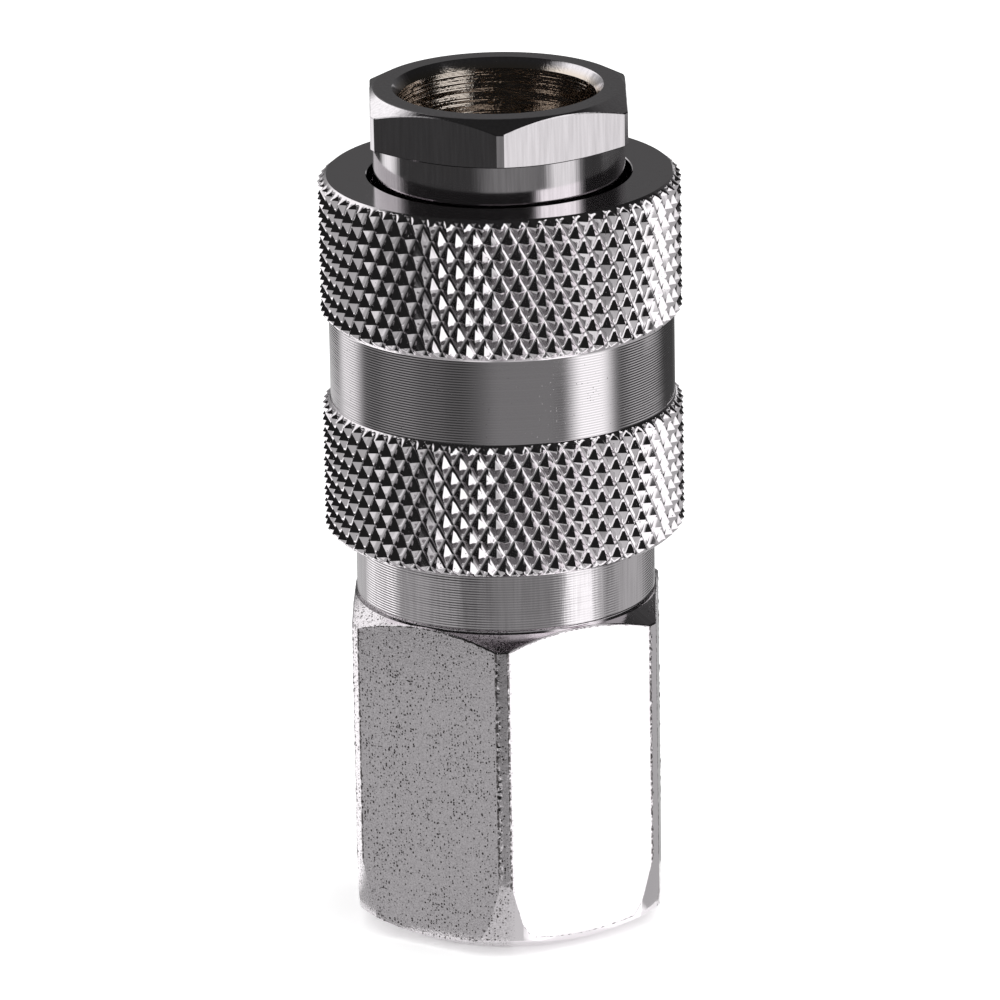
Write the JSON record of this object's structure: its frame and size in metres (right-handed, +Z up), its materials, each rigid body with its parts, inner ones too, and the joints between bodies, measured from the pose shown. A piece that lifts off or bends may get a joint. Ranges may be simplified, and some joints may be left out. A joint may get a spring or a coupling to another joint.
{
  "type": "quick coupling",
  "caption": "Plated quick coupling socket: a knurled sleeve slides back to free the locking balls around the plug bore, with a sprung valve inside and a female pipe thread below.",
  "frame": {"origin": "middle of the hexagon's bottom face", "axes": "+Z up along the coupling's axis towards the plug mouth, -Y the front that the picture shows"},
  "size_m": [0.025, 0.025, 0.0595],
  "materials": {
    "plated_steel": "bright nickel plate over turned steel, with fine tool marks and small pits",
    "plated_sleeve": "bright nickel plate over a diamond knurl and fine turning lines",
    "ball_steel": "polished hard steel",
    "spring_steel": "drawn spring wire",
    "valve_brass": "turned brass",
    "seal_rubber": "matt black rubber"
  },
  "bodies": {
    "socket": {"thread_adapter": "plated_steel", "socket_body": "plated_steel", "plug_seal": "seal_rubber", "body_seal": "seal_rubber", "valve_spring": "spring_steel"},
    "sleeve_spring": {"sleeve_spring": "spring_steel"},
    "sleeve": {"locking_sleeve": "plated_sleeve"},
    "valve": {"valve_poppet": "valve_brass", "valve_seal": "seal_rubber"},
    "ball_1": {"locking_ball_1": "ball_steel"},
    "ball_2": {"locking_ball_2": "ball_steel"},
    "ball_3": {"locking_ball_3": "ball_steel"},
    "ball_4": {"locking_ball_4": "ball_steel"},
    "ball_5": {"locking_ball_5": "ball_steel"},
    "ball_6": {"locking_ball_6": "ball_steel"}
  },
  "joints": [
    {"name": "sleeve_turn", "type": "hinge", "parent": "socket", "child": "sleeve_spring", "pos_m": [0, 0, 0.0312], "axis": [0, 0, 1], "continuous": true},
    {"name": "sleeve_slide", "type": "slide", "parent": "sleeve_spring", "child": "sleeve", "axis": [0, 0, -1], "range_m": [0, 0.004], "stiffness_N_per_m": 2000, "springref_m": -0.005, "deforming": ["sleeve_spring"]},
    {"name": "valve_slide", "type": "slide", "parent": "socket", "child": "valve", "axis": [0, 0, -1], "range_m": [0, 0.004], "stiffness_N_per_m": 500, "springref_m": -0.006, "deforming": ["valve_spring"]},
    {"name": "ball_1_slide", "type": "slide", "parent": "socket", "child": "ball_1", "axis": [1, 0, 0], "range_m": [0, 0.00112]},
    {"name": "ball_2_slide", "type": "slide", "parent": "socket", "child": "ball_2", "axis": [0.5, 0.866, 0], "range_m": [0, 0.00112]},
    {"name": "ball_3_slide", "type": "slide", "parent": "socket", "child": "ball_3", "axis": [-0.5, 0.866, 0], "range_m": [0, 0.00112]},
    {"name": "ball_4_slide", "type": "slide", "parent": "socket", "child": "ball_4", "axis": [-1, 0, 0], "range_m": [0, 0.00112]},
    {"name": "ball_5_slide", "type": "slide", "parent": "socket", "child": "ball_5", "axis": [-0.5, -0.866, 0], "range_m": [0, 0.00112]},
    {"name": "ball_6_slide", "type": "slide", "parent": "socket", "child": "ball_6", "axis": [0.5, -0.866, 0], "range_m": [0, 0.00112]}
  ],
  "couplings": [
    {"joint": "ball_1_slide", "follows": "sleeve_slide", "ratio": 0.275},
    {"joint": "ball_2_slide", "follows": "sleeve_slide", "ratio": 0.275},
    {"joint": "ball_3_slide", "follows": "sleeve_slide", "ratio": 0.275},
    {"joint": "ball_4_slide", "follows": "sleeve_slide", "ratio": 0.275},
    {"joint": "ball_5_slide", "follows": "sleeve_slide", "ratio": 0.275},
    {"joint": "ball_6_slide", "follows": "sleeve_slide", "ratio": 0.275}
  ]
}
